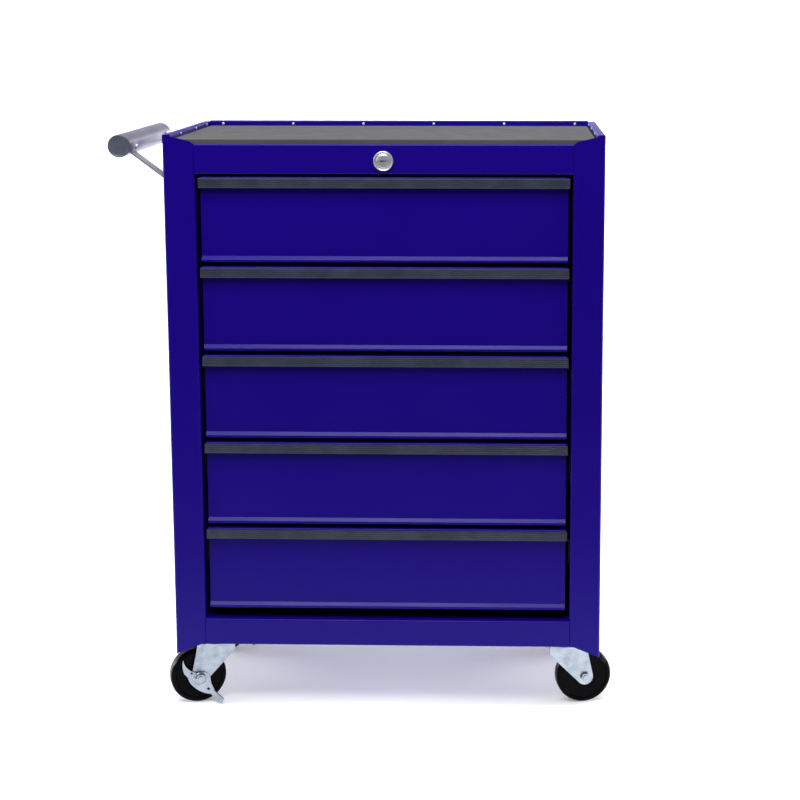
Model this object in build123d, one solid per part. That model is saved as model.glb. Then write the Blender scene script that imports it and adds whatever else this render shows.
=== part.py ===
"""Five-drawer steel tool cart with a grip tube on one side, on four swivel casters.

Axes: X across the front, Y from the front to the back, Z up.  The parts are drawn about
the middle of the cabinet's front edge on the floor, and moved once, when they are
written, so that the origin is at the middle of the bounding box's bottom face.
"""
from build123d import *
from math import cos, pi, radians, sin
import os

# --- Driving dimensions, in millimetres ----------------------------------------------

CABINET_WIDTH = 615.0
CABINET_DEPTH = 330.0
SHEET = 1.0
SHEET_BEND = 1.6           # middle radius of a folded edge
CORNER_BEND = 3.2          # middle radius of the cabinet's four upright corners

RIM_TOP = 840.0
TRAY_TOP = 827.0
OPENING_TOP = 785.5
OPENING_BOTTOM = 139.5
RAIL_BOTTOM = 101.0
SKIRT_TIP = 85.5
SKIRT_LENGTH = 37.0        # how far each corner's skirt runs along the cabinet
OPENING_WIDTH = 527.0
POST_RETURN_DEPTH = 40.0
BASE_SHEET = 1.5

RIM_WIDTH = 11.5           # flat top of the side rims
BACK_RIM_RISE = 1.5
BACK_RIM_WIDTH = 10.0
MAT_THICKNESS = 6.5
MAT_GAP = 1.5

DRAWER_COUNT = 5
DRAWER_PITCH = 126.5
DRAWER_1_BOTTOM = 661.1
FRONT_WIDTH = 514.0
FRONT_HEIGHT = 120.2
FRONT_FACE = 9.0           # drawer face, behind the cabinet's front plane
DRAWER_BOX_WIDTH = 501.6
DRAWER_BACK = 300.0
DRAWER_TRAVEL = 195.0
PULL_WIDTH = 518.0
PULL_TOP = 118.4
PULL_BOTTOM = 104.6

SLIDE_HEIGHT = 35.0
SLIDE_SHEET = 1.2
SLIDE_START = 31.0
SLIDE_END = 299.0
SLIDE_LEVEL = 80.0         # slide's middle above the drawer's bottom
BALL = 3.8
RETAINER_LENGTH = 70.0

LOCK_LEVEL = 804.0
LOCK_FACE = 28.0
LOCK_BODY = 19.0
LOCK_PLUG = 16.0
LOCK_CLEARANCE = 0.1
LOCK_PLUG_END = 20.0
KEYWAY_LENGTH = 9.0        # level when the drawers are locked
KEYWAY_WIDTH = 2.2
KEYWAY_DEPTH = 12.0
TAIL_ROD = 6.0
CRANK_RADIUS = 9.0
CRANK_PIN = 4.0
LOCK_BAR_LIFT = CRANK_RADIUS * 2 ** 0.5   # crank pin's rise, from 45 degrees down to 45 up
LOCK_BAR_FRONT = 322.0
LOCK_BAR_SHEET = 2.0
LOCK_BAR_X = (-20.0, 4.0)
LOCK_BAR_BOTTOM = 160.0
BAR_GUIDE_LEVELS = (235.0, 742.0)
BAR_GUIDE_HEIGHT = 14.0

# Catch that holds each drawer shut.  Levels are above the drawer's bottom.
CATCH_TAB_X = (-18.0, 2.0)
CATCH_TAB_BACK = 312.0
CATCH_TAB_TOP = 63.2
CATCH_TAB_LIP = 50.0       # lower edge of the tab's turned-down lip
CATCH_SHEET = 1.2
HOOK_X = (-16.0, 0.0)
HOOK_FRONT = 304.0
HOOK_LEVEL = 34.5
HOOK_TOP = 47.8            # below the lip until the bar is lifted

GRIP_TUBE = 32.0
GRIP_WALL = 1.5
GRIP_LEVEL = 823.0
GRIP_OUT = 63.0            # tube's middle, out from the side panel
GRIP_START = 15.0
GRIP_END = 298.0
STRUT_WIDTH = 28.0
STRUT_SHEET = 2.5
STRUT_ANGLE = 37.0
SADDLE_GAP = 0.15          # between the tube and the saddles
STRUT_PLACES = (40.0, 272.0)

WHEEL = 82.0
WHEEL_WIDTH = 24.0
SWIVEL_X = 257.5
SWIVEL_INSET_Y = 50.0
TRAIL = 28.5
AXLE_SLEEVE = 12.0
AXLE_CLEARANCE = 0.06
AXLE_SHANK = 8.0
LEVER_SHEET = 2.0
LEVER_DOME = 2.2
LEVER_GAP = 0.4            # between the leg and the brake lever, and under the lever's nut
FORK_SHEET = 2.5
FORK_TOP = 91.5
FORK_HALF_LENGTH = 31.0
LEG_INNER = 13.5           # leg's inner face, from the wheel's middle plane
CASTER_PLATE_X = 76.0
CASTER_PLATE_Y = 70.0
CASTER_PLATE_SHEET = 2.5
CASTER_BOLT_X = 60.0
CASTER_BOLT_Y = 54.0
CASTER_BOLT_HOLE = 6.6
CASTER_BOLT = 6.0
CASTER_BOLT_HEAD = 5.7     # hexagon's corner radius
KINGPIN = 12.0
KINGPIN_HEAD = 20.0
SWIVEL_RACE = 39.0         # upper ball race, pressed down from the top plate
SWIVEL_BALL = 5.0
SWIVEL_BALL_CIRCLE = 33.0
SWIVEL_BALL_COUNT = 14

# Each caster's name, depth, side (-1 is left), and turn at rest.  A front wheel trails to its
# own side of the cart, and a rear one forwards.  The two on the left have brake levers.
CASTERS = (
    ("front_left_caster", SWIVEL_INSET_Y, -1, 19.0),
    ("front_right_caster", SWIVEL_INSET_Y, 1, 12.0),
    ("rear_left_caster", CABINET_DEPTH - SWIVEL_INSET_Y, -1, 55.0),
    ("rear_right_caster", CABINET_DEPTH - SWIVEL_INSET_Y, 1, -55.0),
)

# --- Sizes worked out from the driving dimensions --------------------------------------

HALF_WIDTH = CABINET_WIDTH / 2
HALF_OPENING = OPENING_WIDTH / 2
HALF_SHEET = SHEET / 2
BACK_FACE = CABINET_DEPTH - 2 * SHEET       # back panel's front face
BASE_BOTTOM = RAIL_BOTTOM + SHEET
BASE_TOP = BASE_BOTTOM + BASE_SHEET
RIM_INNER = HALF_WIDTH - RIM_WIDTH
BACK_RIM_FRONT = CABINET_DEPTH - SHEET - BACK_RIM_WIDTH
BOX_SIDE = DRAWER_BOX_WIDTH / 2
GRIP_X = -(HALF_WIDTH + GRIP_OUT)
AXLE_LEVEL = WHEEL / 2
PLATE_BOTTOM = BASE_BOTTOM - CASTER_PLATE_SHEET
LEG_OUTER = LEG_INNER + FORK_SHEET

# Drawing planes: the front view (X across, Z up) and the side view (Y across, Z up).
FRONT_VIEW = Plane(origin=(0, 0, 0), x_dir=(1, 0, 0), z_dir=(0, -1, 0))
SIDE_VIEW = Plane(origin=(0, 0, 0), x_dir=(0, 1, 0), z_dir=(1, 0, 0))
BACKWARD = (0, 1, 0)
ACROSS = (1, 0, 0)


# --- Helpers -----------------------------------------------------------------------------

def block(x, y, z):
    """A box from its lowest and highest value along each axis."""
    size = (x[1] - x[0], y[1] - y[0], z[1] - z[0])
    middle = ((x[0] + x[1]) / 2, (y[0] + y[1]) / 2, (z[0] + z[1]) / 2)
    return Pos(*middle) * Box(*size)


def rod(x, z, y, diameter):
    """A cylinder along Y between two depths."""
    middle = Pos(x, (y[0] + y[1]) / 2, z) * Rot(90, 0, 0)
    return middle * Cylinder(diameter / 2, y[1] - y[0])


def post(x, y, z, diameter):
    """An upright cylinder between two levels."""
    return Pos(x, y, (z[0] + z[1]) / 2) * Cylinder(diameter / 2, z[1] - z[0])


def folded_across(points, x, thickness=SHEET, bend=SHEET_BEND):
    """Sheet folded along a line drawn in the side view, running across from x[0] to x[1]."""
    outline = trace(FilletPolyline(*points, radius=bend), line_width=thickness)
    return Pos(x[0], 0, 0) * extrude(SIDE_VIEW * outline, amount=x[1] - x[0], dir=ACROSS)


def folded_back(points, y, thickness=SHEET, bend=SHEET_BEND):
    """Sheet folded along a line drawn in the front view, running back from y[0] to y[1]."""
    outline = trace(FilletPolyline(*points, radius=bend), line_width=thickness)
    return Pos(0, y[0], 0) * extrude(FRONT_VIEW * outline, amount=y[1] - y[0], dir=BACKWARD)


def folded_up(points, z, thickness=SHEET, bend=SHEET_BEND):
    """Sheet folded along a line drawn in plan, running up from z[0] to z[1]."""
    outline = trace(FilletPolyline(*points, radius=bend), line_width=thickness)
    return Pos(0, 0, z[0]) * extrude(outline, amount=z[1] - z[0])


def plate_front(points, y):
    """A flat plate drawn in the front view, from y[0] back to y[1]."""
    outline = make_face(Polyline(*points, close=True))
    return Pos(0, y[0], 0) * extrude(FRONT_VIEW * outline, amount=y[1] - y[0], dir=BACKWARD)


def plate_side(points, x):
    """A flat plate drawn in the side view, from x[0] across to x[1]."""
    outline = make_face(Polyline(*points, close=True))
    return Pos(x[0], 0, 0) * extrude(SIDE_VIEW * outline, amount=x[1] - x[0], dir=ACROSS)


def mirrored(shape):
    """The same shape on the cabinet's other side."""
    return mirror(shape, about=Plane.YZ)


def group(shapes):
    """Separate solids that share one node."""
    return Compound(children=list(shapes))


# --- Cabinet -------------------------------------------------------------------------------

def right_side_panel():
    """Side wall, front post with its return, rear flange and rolled top rim, in one sheet."""
    wall = HALF_WIDTH - HALF_SHEET
    rear_flange = 20.0
    plan = (
        (HALF_OPENING + HALF_SHEET, POST_RETURN_DEPTH),
        (HALF_OPENING + HALF_SHEET, HALF_SHEET),
        (wall, HALF_SHEET),
        (wall, CABINET_DEPTH - HALF_SHEET),
        (HALF_WIDTH - rear_flange, CABINET_DEPTH - HALF_SHEET),
    )
    bends = [SHEET_BEND, CORNER_BEND, SHEET_BEND]
    panel = folded_up(plan, (SKIRT_TIP, RIM_TOP), bend=bends)

    # The post's front plate ends in a slope that steps down to the top rail.
    step = 6.5
    slope_end = RIM_TOP - 8.5
    above_post = (
        (HALF_WIDTH + 1, RIM_TOP),
        (HALF_OPENING + step + 1, slope_end),
        (HALF_OPENING + step - 2, slope_end - 1.5),
        (HALF_OPENING + 1, TRAY_TOP),
        (HALF_OPENING - 1, TRAY_TOP),
        (HALF_OPENING - 1, RIM_TOP + 1),
        (HALF_WIDTH + 1, RIM_TOP + 1),
    )
    front_strip = (-1.0, SHEET_BEND + 1)
    panel -= plate_front(above_post, front_strip)
    panel -= block((HALF_OPENING - 1, HALF_WIDTH - 3), (SHEET, POST_RETURN_DEPTH + 1),
                   (TRAY_TOP - 2 * SHEET, RIM_TOP + 1))
    panel -= block((HALF_WIDTH - 6, HALF_WIDTH + 1), (SHEET + 3, CABINET_DEPTH + 1),
                   (RIM_TOP - 3, RIM_TOP + 1))
    panel -= block((0, HALF_WIDTH - 2 * SHEET), (BACK_FACE, CABINET_DEPTH + 1),
                   (TRAY_TOP, RIM_TOP + 1))

    # Skirts at the front and rear corners; the lower edge between them is level.
    below_front = (
        (HALF_WIDTH + 1, SKIRT_TIP - 1),
        (HALF_WIDTH + 1, SKIRT_TIP),
        (HALF_WIDTH - SKIRT_LENGTH, RAIL_BOTTOM),
        (HALF_OPENING - 1, RAIL_BOTTOM),
        (HALF_OPENING - 1, SKIRT_TIP - 1),
    )
    panel -= plate_front(below_front, (-1.0, SHEET + 0.2))
    panel -= plate_front(below_front, (CABINET_DEPTH - SHEET, CABINET_DEPTH + 1))
    below_side = (
        (-1, SKIRT_TIP - 1),
        (-1, SKIRT_TIP),
        (SKIRT_LENGTH, RAIL_BOTTOM),
        (CABINET_DEPTH - SKIRT_LENGTH, RAIL_BOTTOM),
        (CABINET_DEPTH + 1, SKIRT_TIP),
        (CABINET_DEPTH + 1, SKIRT_TIP - 1),
    )
    panel -= plate_side(below_side, (HALF_WIDTH - SHEET, HALF_WIDTH + 1))
    panel -= block((HALF_OPENING - 1, HALF_WIDTH - 6), (SHEET, POST_RETURN_DEPTH + 1),
                   (SKIRT_TIP - 1, BASE_TOP))

    # Top rim, rolled inwards over the tray's edge.
    roll = (
        (wall, RIM_TOP - 12),
        (wall, RIM_TOP - HALF_SHEET),
        (RIM_INNER + HALF_SHEET, RIM_TOP - HALF_SHEET),
        (RIM_INNER + HALF_SHEET, TRAY_TOP - SHEET),
    )
    rim = folded_back(roll, (SHEET, BACK_FACE))
    return panel + rim


def back_panel():
    """Flat back, with its top folded forward and down behind the mat."""
    middle = CABINET_DEPTH - SHEET - HALF_SHEET
    top = RIM_TOP + BACK_RIM_RISE - HALF_SHEET
    fold = (
        (middle, TRAY_TOP - 10),
        (middle, top),
        (BACK_RIM_FRONT + HALF_SHEET, top),
        (BACK_RIM_FRONT + HALF_SHEET, TRAY_TOP),
    )
    clear = 0.2
    half_rim = RIM_INNER - clear
    rim = folded_across(fold, (-half_rim, half_rim))
    edge = HALF_WIDTH - SHEET - SHEET_BEND
    corner_step = 4.0
    sheet = block((-edge, edge), (BACK_FACE, BACK_FACE + SHEET), (RAIL_BOTTOM, TRAY_TOP - 5))
    upper = block((-edge + corner_step, edge - corner_step), (BACK_FACE, BACK_FACE + SHEET),
                  (TRAY_TOP - 5, RIM_TOP - 3))
    return sheet + upper + rim


def top_rail():
    """Rail over the drawers, with the hole for the lock."""
    fold = (
        (POST_RETURN_DEPTH - 16, OPENING_TOP + HALF_SHEET),
        (HALF_SHEET, OPENING_TOP + HALF_SHEET),
        (HALF_SHEET, TRAY_TOP - HALF_SHEET),
        (4.0, TRAY_TOP - HALF_SHEET),
    )
    rail = folded_across(fold, (-HALF_OPENING, HALF_OPENING))
    return rail - rod(0, LOCK_LEVEL, (-1, 3), LOCK_BODY + 0.6)


def bottom_rail():
    """Rail under the drawers, with a deep top return and a short bottom one."""
    fold = (
        (POST_RETURN_DEPTH - 14, OPENING_BOTTOM - HALF_SHEET),
        (HALF_SHEET, OPENING_BOTTOM - HALF_SHEET),
        (HALF_SHEET, RAIL_BOTTOM + HALF_SHEET),
        (14.0, RAIL_BOTTOM + HALF_SHEET),
    )
    return folded_across(fold, (-HALF_OPENING, HALF_OPENING))


def base_plate():
    """Floor of the cabinet, with holes for the caster bolts."""
    edge = HALF_WIDTH - SHEET
    plate = block((-edge, edge), (SHEET + SHEET_BEND, BACK_FACE), (BASE_BOTTOM, BASE_TOP))
    plate = fillet(plate.edges().filter_by(Axis.Z), CORNER_BEND)
    for x, y in caster_bolt_places():
        plate -= post(x, y, (BASE_BOTTOM - 1, BASE_TOP + 1), CASTER_BOLT_HOLE)
    return plate


def top_tray():
    """Sheet under the mat, with a short flange down behind the top rail."""
    front = 4.0
    half = RIM_INNER - 0.1
    half_flange = HALF_OPENING - 3
    sheet = block((-half, half), (front + 0.2, BACK_FACE), (TRAY_TOP - SHEET, TRAY_TOP))
    flange = block((-half_flange, half_flange), (front + 0.2, front + SHEET + 0.2),
                   (TRAY_TOP - 9, TRAY_TOP - SHEET))
    rear = BACK_RIM_FRONT
    gap = block((-half - 1, half + 1), (rear, rear + SHEET), (TRAY_TOP, TRAY_TOP + 1))
    return sheet + flange - gap


def top_mat():
    """Rubber mat that lies in the tray."""
    half = RIM_INNER - MAT_GAP
    mat = block((-half, half), (4.4, BACK_RIM_FRONT - MAT_GAP),
                (TRAY_TOP, TRAY_TOP + MAT_THICKNESS))
    mat = fillet(mat.edges().filter_by(Axis.Z).sort_by(Axis.Y)[2:], 9)
    return fillet(mat.faces().sort_by(Axis.Z)[-1].edges(), 1)


def rear_uprights():
    """Angle at each rear corner, which the drawer slides are fixed to."""
    sheet = 1.5
    inner = HALF_OPENING + sheet / 2
    rear = 304.0
    fold = (
        (inner, rear - 28),
        (inner, rear),
        (HALF_WIDTH - SHEET - sheet / 2, rear),
        (HALF_WIDTH - SHEET - sheet / 2, rear - 18),
    )
    foot = BASE_TOP + 12
    right = folded_up(fold, (foot, TRAY_TOP - SHEET), thickness=sheet, bend=2)
    return group([right, mirrored(right)])


def rim_rivets():
    """Blind rivets that hold the tray to the back and side rims."""
    head = 4.0
    level = TRAY_TOP + 9.6
    rivets = []
    for step in range(6):
        x = (step - 2.5) * 110
        rivets.append(rod(x, level, (BACK_RIM_FRONT - 1.2, BACK_RIM_FRONT), head))
    for y in (80, 200, 290):
        dome = Pos(RIM_INNER - 0.6, y, level) * Rot(0, 90, 0) * Cylinder(head / 2, 1.2)
        rivets.extend([dome, mirrored(dome)])
    return group(rivets)


# --- Lock ------------------------------------------------------------------------------------

def lock_housing():
    """Round face, threaded body and the hexagon nut that clamps it in the rail."""
    face = rod(0, LOCK_LEVEL, (-3, 0), LOCK_FACE)
    face = fillet(face.edges().sort_by(Axis.Y)[0], 1.2)
    body = rod(0, LOCK_LEVEL, (0, 21), LOCK_BODY)
    hexagon = extrude(FRONT_VIEW * RegularPolygon(13.5, 6), amount=5, dir=BACKWARD)
    nut = Pos(0, SHEET, LOCK_LEVEL) * hexagon
    bore = rod(0, LOCK_LEVEL, (-4, 22), LOCK_PLUG + 2 * LOCK_CLEARANCE)
    return face + body + nut - bore


def lock_plug():
    """Turning plug with its keyway."""
    plug = rod(0, LOCK_LEVEL, (-3.4, LOCK_PLUG_END), LOCK_PLUG)
    plug = fillet(plug.edges().sort_by(Axis.Y)[0], 0.6)
    half_length = KEYWAY_LENGTH / 2
    half_width = KEYWAY_WIDTH / 2
    keyway = block((-half_length, half_length), (-4, KEYWAY_DEPTH),
                   (LOCK_LEVEL - half_width, LOCK_LEVEL + half_width))
    return plug - keyway


def lock_tail_rod():
    """Rod from the plug to the back, with a crank whose pin lifts the lock bar."""
    end = LOCK_BAR_FRONT - 2
    arm_sheet = 3.0
    arm_width = 7.0
    shaft = rod(0, LOCK_LEVEL, (LOCK_PLUG_END, end), TAIL_ROD)
    pin_x = -LOCK_BAR_LIFT / 2
    pin_z = LOCK_LEVEL - LOCK_BAR_LIFT / 2
    arm = Pos(pin_x / 2, end - arm_sheet / 2, (LOCK_LEVEL + pin_z) / 2)
    arm *= Rot(0, -45, 0) * Box(CRANK_RADIUS + 3, arm_sheet, arm_width)
    pin = rod(pin_x, pin_z, (end - 1, end + 5), CRANK_PIN)
    return shaft + arm + pin


def lock_bar():
    """Upright bar behind the drawers, with one hook for each drawer's catch tab."""
    depth = (LOCK_BAR_FRONT, LOCK_BAR_FRONT + LOCK_BAR_SHEET)
    bar = block(LOCK_BAR_X, depth, (LOCK_BAR_BOTTOM, LOCK_LEVEL + 2))
    slot_gap = 0.6
    slot_height = CRANK_PIN + 1.3
    slot = (-CRANK_RADIUS - CRANK_PIN / 2 - slot_gap,
            -LOCK_BAR_LIFT / 2 + CRANK_PIN / 2 + slot_gap)
    pin_level = LOCK_LEVEL - LOCK_BAR_LIFT / 2
    bar -= block(slot, (depth[0] - 1, depth[1] + 1),
                 (pin_level - slot_height / 2, pin_level + slot_height / 2))
    for bottom in drawer_bottoms():
        foot = bottom + HOOK_LEVEL
        bar += block(HOOK_X, (HOOK_FRONT, LOCK_BAR_FRONT), (foot, foot + LOCK_BAR_SHEET))
        bar += block(HOOK_X, (HOOK_FRONT, HOOK_FRONT + LOCK_BAR_SHEET), (foot, bottom + HOOK_TOP))
    return bar


def lock_bar_guides():
    """Two straps on the back panel that keep the lock bar upright."""
    sheet = 1.2
    gap = 2.5
    foot = 7.5
    left = LOCK_BAR_X[0] - gap
    right = LOCK_BAR_X[1] + gap
    front = LOCK_BAR_FRONT - gap
    back = BACK_FACE - sheet / 2
    fold = (
        (left - foot, back),
        (left, back),
        (left, front),
        (right, front),
        (right, back),
        (right + foot, back),
    )
    guides = []
    for level in BAR_GUIDE_LEVELS:
        guides.append(folded_up(fold, (level, level + BAR_GUIDE_HEIGHT), sheet, bend=1.4))
    return group(guides)


# --- Drawers ---------------------------------------------------------------------------------

def drawer_bottoms():
    return [DRAWER_1_BOTTOM - step * DRAWER_PITCH for step in range(DRAWER_COUNT)]


def drawer_box(bottom):
    """Folded front, box and rear catch tab, welded into one piece."""
    half = FRONT_WIDTH / 2
    lip = FRONT_FACE - 4.2
    nose = 2.6
    outer_skin = (
        (16, bottom + HALF_SHEET),
        (lip + HALF_SHEET, bottom + HALF_SHEET),
        (lip + HALF_SHEET, bottom + 3.4),
        (FRONT_FACE + HALF_SHEET, bottom + 8.2),
        (FRONT_FACE + HALF_SHEET, bottom + PULL_BOTTOM + 2.2),
        (nose + HALF_SHEET, bottom + PULL_BOTTOM + 2.2),
        (nose + HALF_SHEET, bottom + FRONT_HEIGHT - HALF_SHEET),
        (21.5, bottom + FRONT_HEIGHT - HALF_SHEET),
        (21.5, bottom + 12),
    )
    front = folded_across(outer_skin, (-half, half), bend=1.1)
    edge = block((half - SHEET, half), (FRONT_FACE + 0.5, 21.5), (bottom + 14, bottom + 100))
    front += [edge, mirrored(edge)]

    floor = bottom + 10
    box_top = bottom + 99
    box = block((-BOX_SIDE, BOX_SIDE), (21, DRAWER_BACK), (floor, box_top))
    box -= block((-BOX_SIDE + SHEET, BOX_SIDE - SHEET), (22, DRAWER_BACK - SHEET),
                 (floor + SHEET, box_top + 1))
    for side in (-1, 1):
        x = sorted((side * BOX_SIDE, side * (BOX_SIDE - 3)))
        box += block(x, (22, DRAWER_BACK), (box_top - SHEET, box_top))
        inner = side * (BOX_SIDE - 3)
        box += block(sorted((inner, inner + side * SHEET)), (22, DRAWER_BACK),
                     (box_top - 9, box_top))
    tab_top = bottom + CATCH_TAB_TOP
    tab = block(CATCH_TAB_X, (DRAWER_BACK, CATCH_TAB_BACK), (tab_top - CATCH_SHEET, tab_top))
    tab += block(CATCH_TAB_X, (CATCH_TAB_BACK - CATCH_SHEET, CATCH_TAB_BACK),
                 (bottom + CATCH_TAB_LIP, tab_top))
    return front + box + tab


def drawer_pull(bottom):
    """Ribbed strip pressed over the drawer's nose, with a leg under it to grip."""
    half = PULL_WIDTH / 2
    outline = Polyline(
        (2.6, bottom + PULL_TOP),
        (0.4, bottom + PULL_TOP),
        (0.0, bottom + PULL_TOP - 1.2),
        (0.0, bottom + PULL_BOTTOM + 2.0),
        (1.4, bottom + PULL_BOTTOM),
        (8.2, bottom + PULL_BOTTOM),
        (8.2, bottom + PULL_BOTTOM + 1.7),
        (2.6, bottom + PULL_BOTTOM + 1.7),
        close=True,
    )
    strip = extrude(SIDE_VIEW * make_face(outline), amount=PULL_WIDTH, dir=ACROSS)
    strip = Pos(-half, 0, 0) * strip
    for rib in (4.2, 7.4, 10.4):
        level = bottom + PULL_BOTTOM + rib
        strip -= Pos(0, 0, level) * Rot(45, 0, 0) * Box(PULL_WIDTH + 2, 0.7, 0.7)
    rounded = block((-half, half), (-0.5, 12), (bottom, bottom + FRONT_HEIGHT))
    rounded = fillet(rounded.edges().filter_by(Axis.Z).sort_by(Axis.Y)[:2], 1.6)
    return strip & rounded


def inner_slide(bottom):
    """Slide member on the drawer's right side."""
    level = bottom + SLIDE_LEVEL
    reach = 12.0
    fold = (
        (BOX_SIDE + 8.5, level + reach - SLIDE_SHEET / 2),
        (BOX_SIDE + SLIDE_SHEET / 2, level + reach - SLIDE_SHEET / 2),
        (BOX_SIDE + SLIDE_SHEET / 2, level - reach + SLIDE_SHEET / 2),
        (BOX_SIDE + 8.5, level - reach + SLIDE_SHEET / 2),
    )
    return folded_back(fold, (SLIDE_START, SLIDE_END), thickness=SLIDE_SHEET, bend=1.2)


def outer_slide(bottom):
    """Slide member on the cabinet's right side."""
    level = bottom + SLIDE_LEVEL
    reach = SLIDE_HEIGHT / 2 - SLIDE_SHEET / 2
    web = HALF_OPENING - SLIDE_SHEET / 2
    lip = HALF_OPENING - 9.6
    fold = (
        (lip, level + reach - 2.2),
        (lip, level + reach),
        (web, level + reach),
        (web, level - reach),
        (lip, level - reach),
        (lip, level - reach + 2.2),
    )
    return folded_back(fold, (SLIDE_START, SLIDE_END), thickness=SLIDE_SHEET, bend=1.0)


def ball_retainer(bottom):
    """Cage with two rows of balls, which runs between the right side's slide members."""
    level = bottom + SLIDE_LEVEL
    row = 14.3
    sheet = 0.8
    front = SLIDE_START + DRAWER_TRAVEL / 2 + 5
    web = 260.7
    fold = (
        (255.4, level + row),
        (web, level + row),
        (web, level - row),
        (255.4, level - row),
    )
    cage = folded_back(fold, (front, front + RETAINER_LENGTH), thickness=sheet, bend=0.8)
    ball_x = 257.3
    balls = []
    for step in range(7):
        y = front + 5 + step * 10
        for side in (-1, 1):
            z = level + side * row
            cage -= post(ball_x, y, (z - 1, z + 1), BALL + 0.3)
            balls.append(Pos(ball_x, y, z) * Sphere(BALL / 2))
    return [cage] + balls


# --- Grip tube on the left side ----------------------------------------------------------------

def handle_tube():
    tube = rod(GRIP_X, GRIP_LEVEL, (GRIP_START, GRIP_END), GRIP_TUBE)
    return tube - rod(GRIP_X, GRIP_LEVEL, (GRIP_START - 1, GRIP_END + 1), GRIP_TUBE - 2 * GRIP_WALL)


def handle_end_caps():
    """Moulded caps, each with a hollow plug inside the tube."""
    cap_sheet = 4.0
    plug = GRIP_TUBE - 2 * GRIP_WALL - 0.4
    face = rod(GRIP_X, GRIP_LEVEL, (GRIP_START - cap_sheet, GRIP_START), GRIP_TUBE)
    face = fillet(face.edges().sort_by(Axis.Y)[0], 1.4)
    face += rod(GRIP_X, GRIP_LEVEL, (GRIP_START, GRIP_START + 14), plug)
    face -= rod(GRIP_X, GRIP_LEVEL, (GRIP_START, GRIP_START + 15), plug - 4)
    middle = (GRIP_START + GRIP_END) / 2
    return group([face, mirror(face, about=Plane.XZ.offset(-middle))])


def handle_strut(y):
    """Flat bar: a saddle round the tube, a straight arm, and a foot on the side panel."""
    saddle = GRIP_TUBE / 2 + SADDLE_GAP + STRUT_SHEET / 2
    arm = radians(-STRUT_ANGLE)
    foot_x = -HALF_WIDTH - STRUT_SHEET / 2
    arm_run = (foot_x - GRIP_X) / cos(arm)
    foot_top = GRIP_LEVEL + arm_run * sin(arm)
    inner = GRIP_TUBE / 2 + SADDLE_GAP
    outer = inner + STRUT_SHEET
    wrap = 52.0
    ring = Circle(outer) - Circle(inner)
    wedge = make_face(Polyline(
        (0, 0),
        (2 * outer * cos(arm - 0.04), 2 * outer * sin(arm - 0.04)),
        (2 * outer * cos(arm + radians(wrap)), 2 * outer * sin(arm + radians(wrap))),
        close=True,
    ))
    curve = Pos(GRIP_X, GRIP_LEVEL) * (ring & wedge)
    start = (GRIP_X + saddle * cos(arm), GRIP_LEVEL + saddle * sin(arm))
    line = FilletPolyline(start, (foot_x, foot_top), (foot_x, foot_top - 34), radius=4)
    outline = curve + trace(line, line_width=STRUT_SHEET)
    bar = extrude(FRONT_VIEW * outline, amount=STRUT_WIDTH, dir=BACKWARD)
    bar = Pos(0, y - STRUT_WIDTH / 2, 0) * bar
    return bar.solid()


def handle_screws():
    """Dome screws: two through each strut's foot, and one through each saddle."""
    foot_x = -HALF_WIDTH - STRUT_SHEET
    foot_top = GRIP_LEVEL - GRIP_OUT * sin(radians(STRUT_ANGLE)) / cos(radians(STRUT_ANGLE))
    screws = []
    for place in STRUT_PLACES:
        for side in (-1, 1):
            centre = Pos(foot_x, place + side * 7, foot_top - 24) * Rot(0, -90, 0)
            head = centre * Cylinder(4.5, 2.4, align=(Align.CENTER, Align.CENTER, Align.MIN))
            screws.append(fillet(head.edges().sort_by(Axis.X)[0], 1))
        outward = 8.0
        turn = Pos(GRIP_X, place, GRIP_LEVEL) * Rot(0, 90 + outward, 0)
        seat = GRIP_TUBE / 2 + 2 * SADDLE_GAP + STRUT_SHEET
        head = Pos(0, 0, seat - 0.5) * Cylinder(4, 2.2, align=(Align.CENTER, Align.CENTER, Align.MIN))
        ring = Rot(90, 0, 0) * Cylinder(seat, 20)
        screws.append(turn * (head - ring))
    return group(screws)


# --- Casters -------------------------------------------------------------------------------------

def caster_bolt_places():
    places = []
    for _, y, side, _ in CASTERS:
        x = side * SWIVEL_X
        for side_x in (-1, 1):
            for side_y in (-1, 1):
                places.append((x + side_x * CASTER_BOLT_X / 2, y + side_y * CASTER_BOLT_Y / 2))
    return places


def caster_plates():
    """Top plate with the upper ball race and the kingpin that carries the fork."""
    plates = []
    boss = PLATE_BOTTOM - 2.8
    pin_end = FORK_TOP - 6.6
    for _, y, side, _ in CASTERS:
        x = side * SWIVEL_X
        half_x = CASTER_PLATE_X / 2
        half_y = CASTER_PLATE_Y / 2
        plate = block((x - half_x, x + half_x), (y - half_y, y + half_y),
                      (PLATE_BOTTOM, BASE_BOTTOM))
        plate = fillet(plate.edges().filter_by(Axis.Z), 6)
        for side_x in (-1, 1):
            for side_y in (-1, 1):
                hole_x = x + side_x * CASTER_BOLT_X / 2
                hole_y = y + side_y * CASTER_BOLT_Y / 2
                plate -= post(hole_x, hole_y, (PLATE_BOTTOM - 1, BASE_BOTTOM + 1), CASTER_BOLT_HOLE)
        plate += post(x, y, (boss, PLATE_BOTTOM), SWIVEL_RACE)
        plate += post(x, y, (pin_end, boss), KINGPIN)
        plate += post(x, y, (pin_end, FORK_TOP - FORK_SHEET - 0.3), KINGPIN_HEAD)
        plates.append(plate)
    return group(plates)


def swivel_balls():
    """Ring of balls between each caster's plate and fork."""
    balls = []
    level = FORK_TOP + 0.1 + SWIVEL_BALL / 2
    for _, y, side, _ in CASTERS:
        x = side * SWIVEL_X
        for step in range(SWIVEL_BALL_COUNT):
            turn = 2 * pi * step / SWIVEL_BALL_COUNT
            reach = SWIVEL_BALL_CIRCLE / 2
            balls.append(Pos(x + reach * cos(turn), y + reach * sin(turn), level)
                         * Sphere(SWIVEL_BALL / 2))
    return group(balls)


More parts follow.
